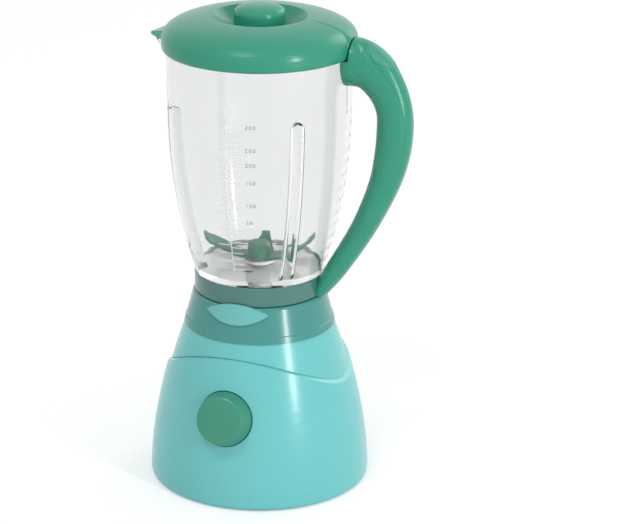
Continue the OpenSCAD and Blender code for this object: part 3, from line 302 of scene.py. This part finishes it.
def wound_spring(turns, low_radius, high_radius, height, wire_radius):
    """A spring as a mesh that stands on the X-Y plane and rises along Z."""
    seed = put("spring_seed", bpy.data.meshes.new("spring_seed"))
    winder = seed.modifiers.new("wound_wire", "NODES")
    winder.node_group = spring_tree
    values = (turns, low_radius, high_radius, height - 2 * wire_radius, wire_radius)
    for identifier, value in zip(spring_sizes.values(), values):
        winder[identifier] = float(value)
    made = baked(seed)
    made.transform(Matrix.Translation((0, 0, wire_radius)))
    return made


def piece_from(name, shape, material):
    """A piece from a closed bmesh, with its faces turned outwards and one finish."""
    bmesh.ops.recalc_face_normals(shape, faces=shape.faces)
    mesh = bpy.data.meshes.new(name)
    shape.to_mesh(mesh)
    shape.free()
    mesh.materials.append(material)
    return put(name, mesh)


def placed_springs(name, springs):
    """One piece of several spring meshes, each given with its place."""
    joined = bmesh.new()
    for spring, place in springs:
        spring.transform(place)
        joined.from_mesh(spring)
    for face in joined.faces:
        face.smooth = True
    return piece_from(name, joined, steel)


# every other cell lies the other way round, and its spring with it
cell_row_z = 0.0108
cell_pitch = 0.0146
contact_x = -0.0282
contact_turns = 4
contact_wide, contact_narrow = 0.00426, 0.00220
contact_length = 0.0052
contact_wire = 0.00035
contact_coils = placed_springs("contact_coils", [
    (wound_spring(contact_turns, contact_wide, contact_narrow, contact_length, contact_wire),
     Matrix.Translation((0, (cell - 1) * cell_pitch, cell_row_z))
     @ Matrix.Rotation(math.pi * (cell % 2), 4, "Z")
     @ Matrix.Translation((contact_x, 0, 0))
     @ Matrix.Rotation(math.pi / 2, 4, "Y"))
    for cell in range(3)])
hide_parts("contact_springs")
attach(contact_coils, "base")


# ---- Foot pads, loudspeaker and boards -------------------------------------------
# Soft rubber pads are glued under the base, and the loudspeaker sits over its sound
# holes in the bottom cover. One green board lies on pegs over the battery box, and a
# smaller one stands behind the button.

dark_rubber = moulded(
    "dark_rubber", screen(46, 48, 50), gloss=0.72, cloud=0.10, peel=0.35, peel_size=0.0006)
dark_plastic = moulded("dark_plastic", screen(50, 53, 56), gloss=0.45, cloud=0.06, peel=0.12)
board_green = moulded("board_green", screen(40, 104, 72), gloss=0.35, cloud=0.12)
finish_nodes(dark_rubber, "dark_rubber", "base_pads", "button_pad")
finish_nodes(dark_plastic, "dark_plastic", "speaker")
finish_nodes(board_green, "board_green", "circuit_board", "switch_board")


# ---- Push button -----------------------------------------------------------------
# A round cap of moulded green plastic, slightly domed, slides in its opening on a stem.
# A steel spring on the guide plate pushes it out, and its rubber pad presses a switch.

button_green = moulded("button_green", screen(54, 138, 114), gloss=0.33, cloud=0.04)
finish_nodes(button_green, "lid_green", "button")
finish_nodes(white_plastic, "white_plastic", "button_guide")
finish_nodes(steel, "steel", "button_screws")

# the spring stands on the guide plate, and the button's travel makes it shorter
press_way = Vector((0, 0.9739, -0.2271))
guide_face = Vector((0, -0.040746, 0.046313))
return_turns = 6
return_radius = 0.006
return_length = 0.017466
return_wire = 0.0005
button_coil = placed_springs("button_coil", [(
    wound_spring(return_turns, return_radius, return_radius, return_length, return_wire),
    Matrix.Translation(guide_face) @ (-press_way).to_track_quat("Z", "Y").to_matrix().to_4x4())])
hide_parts("button_spring")
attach(button_coil, "base")
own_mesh(button_coil)


# ---- Motor and gears -------------------------------------------------------------
# A small motor in a steel case hangs under the white gear plate. Its pinion turns the
# large gear, whose steel shaft carries the dark lower half of the coupling up through
# the seat.

finish_nodes(steel, "steel", "motor", "motor_screws", "gear_screws", "drive_shaft", "drive_clip")
finish_nodes(
    white_plastic, "white_plastic", "gear_plate", "drive_gear", "motor_pinion", "drive_bush")
finish_nodes(dark_plastic, "dark_plastic", "drive_dog")


# ---- Collar, badge and lamp ------------------------------------------------------
# A collar of smoky see-through plastic is screwed to the base and holds the jug's foot.
# It carries a bare pointed badge plate, and a small amber lamp shines up through the
# seat.

acrylic_ior = 1.49


def smoky(name, colour, see_through=0.35, gloss=0.2):
    """Tinted plastic that lets some of the light through."""
    made, tree, shader, place = surface(name)
    wide = speckle(tree, place, size=0.018)
    fine = speckle(tree, place, size=0.0012, detail=1.0)
    clouded(shader, wide, colour, darkest=0.95, palest=1.05)
    uneven_gloss(shader, gloss, (wide, 0.06))
    shallow_relief(shader, fine, strength=0.04, depth=0.0002)
    shader.inputs["Transmission Weight"].default_value = see_through
    shader.inputs["IOR"].default_value = acrylic_ior
    return made


collar_smoke = smoky("collar_smoke", screen(76, 160, 154), see_through=0.25)
badge_teal = moulded("badge_teal", screen(104, 180, 177), gloss=0.35, cloud=0.03)
amber = smoky("amber_lens", screen(236, 160, 60), see_through=0.6, gloss=0.15)
finish_nodes(collar_smoke, "smoke_teal", "collar")
finish_nodes(badge_teal, "badge_teal", "badge")
finish_nodes(amber, "amber_lens", "lamp")
finish_nodes(steel, "steel", "collar_screws")


# ---- Jug and its scale -----------------------------------------------------------
# A jug moulded from clear plastic, with two upright ribs inside and a pouring lip,
# stands in a smoky foot ring. Its scale is raised in thin pale marks on the front.

def clear_plastic(name, tint, gloss=0.025, passed_by_a_face=0.94):
    """Clear plastic, which lets nearly all of the light through."""
    made, tree, shader, place = surface(name)
    wide = speckle(tree, place, size=0.03)
    clouded(shader, wide, tint, darkest=0.985, palest=1.0)
    uneven_gloss(shader, gloss, (wide, 0.03))
    shallow_relief(shader, wide, strength=0.04, depth=0.0005)
    shader.inputs["Transmission Weight"].default_value = 1.0
    shader.inputs["IOR"].default_value = acrylic_ior
    # lamplight goes straight through the clear wall, so that what is inside is lit
    ray = add_node(tree, "ShaderNodeLightPath").socket.node.outputs
    passing = add_node(
        tree, "ShaderNodeBsdfTransparent", {}, {"Color": [passed_by_a_face] * 3 + [1]})
    lit_through = add_node(tree, "ShaderNodeMixShader", {}, {
        0: Wire(tree, ray["Is Shadow Ray"]), 1: Wire(tree, shader.outputs[0]), 2: passing})
    lit_through.into(tree.nodes["Material Output"].inputs["Surface"])
    return made


jug_clear = clear_plastic("jug_clear", [0.88, 0.89, 0.89, 1])
scale_white = moulded("scale_white", screen(246, 246, 246), gloss=0.45, cloud=0.02, Alpha=0.4)
foot_smoke = smoky("foot_smoke", screen(88, 146, 140), see_through=0.35)
finish_nodes(jug_clear, "clear_plastic", "jug")
finish_nodes(scale_white, "scale_white", "jug_scale")
finish_nodes(foot_smoke, "smoke_teal", "jug_foot")
finish_nodes(white_plastic, "white_plastic", "blade_bush")
finish_nodes(dark_plastic, "dark_plastic", "blade_dog")


# ---- Numbers of the scale --------------------------------------------------------
# Plain numbers in small grey print stand to the right of the raised marks, one below
# the other. The print is a thin film that follows the wall of the jug.

jug_foot_z = 0.1155
jug_flank = 0.0895
jug_mouth_radius = 0.0478
jug_foot_radius = 0.0340
jug_widens = jug_mouth_radius - jug_foot_radius
flank_radius = (jug_flank ** 2 + jug_widens ** 2) / (2 * jug_widens)
print_heights = {
    "300": 0.2050, "250": 0.1930, "200": 0.1850, "150": 0.1755, "100": 0.1630, "50": 0.1534}
print_angle = math.radians(11.5)
print_bend_radius = 0.046
print_lift = 0.00006
digit_height = 0.0021
font_size_per_height = 1.38


def jug_wall_radius(z):
    """The jug's outer radius: its flank is a circle's arc that is upright at the mouth."""
    below = max(0.0, jug_foot_z + jug_flank - z)
    return jug_mouth_radius - flank_radius + math.sqrt(flank_radius ** 2 - below ** 2)


def flat_number(text):
    """A number as a thin closed mesh in the X-Y plane, its lower left corner at the origin."""
    letters = bpy.data.curves.new("number_" + text, "FONT")
    letters.body = text
    letters.size = digit_height * font_size_per_height
    letters.space_character = 1.3
    letters.resolution_u = 3
    letters.extrude = 0.00004
    return baked(put("number_" + text, letters))


number_print = bmesh.new()
for text, z in print_heights.items():
    first = len(number_print.verts)
    number_print.from_mesh(flat_number(text))
    number_print.verts.ensure_lookup_table()
    for corner in number_print.verts[first:]:
        across, up, out = corner.co
        radius = jug_wall_radius(z + up) + print_lift + out
        angle = print_angle + across / print_bend_radius
        corner.co = (radius * math.sin(angle), -radius * math.cos(angle), z + up)
bmesh.ops.remove_doubles(number_print, verts=number_print.verts, dist=1e-7)
scale_grey = moulded("scale_grey", screen(112, 120, 120), gloss=0.45, cloud=0.05)
scale_numbers = piece_from("scale_numbers", number_print, scale_grey)
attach(scale_numbers, "jug")


# ---- Disc of painted floor light -------------------------------------------------
# A white plastic disc lies under the jug's clear floor, inside the foot ring. It has a
# hole for the blade's bush and one for the lamp. Its white is painted light: it stands in
# for the bright light at the jug's floor.

painted_light_disc_z = 0.1145
lamp_from_axis = 0.0125
lamp_angle = math.radians(260)
lamp_place = (lamp_from_axis * math.cos(lamp_angle), lamp_from_axis * math.sin(lamp_angle))
painted_light_disc_rings = (  # middle, radius and sides of the rim and of the two holes
    ((0, 0), 0.0314, 96),
    ((0, 0), 0.0068, 48),
    (lamp_place, 0.0034, 32),
)
painted_light_disc_curve = bpy.data.curves.new("painted_light_disc_curve", "CURVE")
painted_light_disc_curve.dimensions = "2D"
painted_light_disc_curve.fill_mode = "BOTH"
painted_light_disc_curve.extrude = 0.0004
painted_light_disc_curve.bevel_depth = 0.0002
painted_light_disc_curve.bevel_resolution = 2
for (x, y), radius, sides in painted_light_disc_rings:
    ring = painted_light_disc_curve.splines.new("POLY")
    ring.points.add(sides - 1)
    ring.use_cyclic_u = True
    for number, corner in enumerate(ring.points):
        turn = 2 * math.pi * number / sides
        corner.co = (x + radius * math.cos(turn), y + radius * math.sin(turn), 0, 1)
disc = bmesh.new()
disc.from_mesh(baked(put("painted_light_disc_curve", painted_light_disc_curve)))
bmesh.ops.remove_doubles(disc, verts=disc.verts, dist=1e-6)
bmesh.ops.translate(disc, verts=disc.verts, vec=(0, 0, painted_light_disc_z))
# the disc's white is painted light, standing in for the bright light at the jug's floor
painted_light_white = moulded("painted_light_white", screen(240, 240, 238), gloss=0.35, cloud=0.02)
painted_light_disc = piece_from("painted_light_disc", disc, painted_light_white)
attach(painted_light_disc, "jug")


# ---- Blade -----------------------------------------------------------------------
# Four blunt green arms on a hub, moulded in one piece and pressed on the steel shaft
# that runs in the jug's floor.

blade_green = moulded("blade_green", screen(34, 106, 82), gloss=0.35, cloud=0.05)
finish_nodes(blade_green, "lid_green", "blade")
finish_nodes(steel, "steel", "blade_shaft")


# ---- Handle ----------------------------------------------------------------------
# The handle is moulded in lid green: a rounded grip, and a strip along its back that is
# set a little lower at its edges, so that a groove runs down each side. A steel screw
# holds it on the foot ring.

lid_green = moulded(
    "lid_green", screen(47, 144, 118), gloss=0.24, cloud=0.03, Specular_IOR_Level=0.36)
finish_nodes(lid_green, "lid_green", "handle", "handle_strip")
finish_nodes(steel, "steel", "handle_screw")


# ---- Thumb pad -------------------------------------------------------------------
# A thin leaf-shaped pad of satin plastic lies on the handle's back, where a thumb rests.
# Rays towards the handle's middle line find its surface, and the pad follows it 0.3 mm
# higher.

pad_rows = 26
pad_columns = 14
pad_start, pad_end = Vector((0.0540, 0, 0.2315)), Vector((0.0655, 0, 0.2235))
start_slope, end_slope = 76, 39
tip_turn, leaf_turn, leaf_fullness = 2, 38, 0.8
ray_start = 0.03
pad_edge, pad_rise, pad_sunk = 0.00005, 0.0003, 0.0002

bpy.context.view_layer.update()
pad_outside = []
pad_inside = []
for row in range(pad_rows + 1):
    along = row / pad_rows
    middle = pad_start.lerp(pad_end, along)
    slope = math.radians(start_slope + (end_slope - start_slope) * along)
    half_turn = math.radians(tip_turn + leaf_turn * math.sin(math.pi * along) ** leaf_fullness)
    for column in range(pad_columns + 1):
        across = 2 * column / pad_columns - 1
        turn = across * half_turn
        away = Vector((
            math.cos(slope) * math.cos(turn), math.sin(turn), math.sin(slope) * math.cos(turn)))
        hits = [
            nodes[name].ray_cast(middle + away * ray_start, -away)
            for name in ("handle", "handle_strip")]
        touched = max(
            (place for struck, place, *rest in hits if struck),
            key=lambda place: (place - middle).dot(away))
        edge = max(abs(across), abs(2 * along - 1))
        pad_outside.append(touched + away * (pad_edge + pad_rise * (1 - edge ** 6)))
        pad_inside.append(touched - away * pad_sunk)

# two layers of quads, and one row of quads round their rim
pad_line = pad_columns + 1
layer = len(pad_outside)
pad_faces = []
for row in range(pad_rows):
    for column in range(pad_columns):
        a = row * pad_line + column
        pad_faces.append((a, a + 1, a + pad_line + 1, a + pad_line))
        pad_faces.append(tuple(
            corner + layer for corner in (a, a + pad_line, a + pad_line + 1, a + 1)))
pad_rim = (
    list(range(pad_columns))
    + [row * pad_line + pad_columns for row in range(pad_rows)]
    + [pad_rows * pad_line + column for column in range(pad_columns, 0, -1)]
    + [row * pad_line for row in range(pad_rows, 0, -1)])
for a, b in zip(pad_rim, pad_rim[1:] + pad_rim[:1]):
    pad_faces.append((b, a, a + layer, b + layer))
pad_shape = bmesh.new()
pad_corners = [pad_shape.verts.new(place) for place in pad_outside + pad_inside]
for face in pad_faces:
    pad_shape.faces.new([pad_corners[corner] for corner in face]).smooth = True
pad_green = moulded("pad_green", screen(58, 144, 120), gloss=0.48, cloud=0.04, peel=0.12)
thumb_pad = piece_from("thumb_pad", pad_shape, pad_green)
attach(thumb_pad, "jug")


# ---- Lid and filler cap ----------------------------------------------------------
# The lid and its cap are moulded in the handle's green. The lid is a shallow dome with
# a hollow in its middle, where the filler cap sits. Its tongue ends in front of the
# handle, and a point covers the pouring lip.

finish_nodes(lid_green, "lid_green", "lid", "lid_cap")
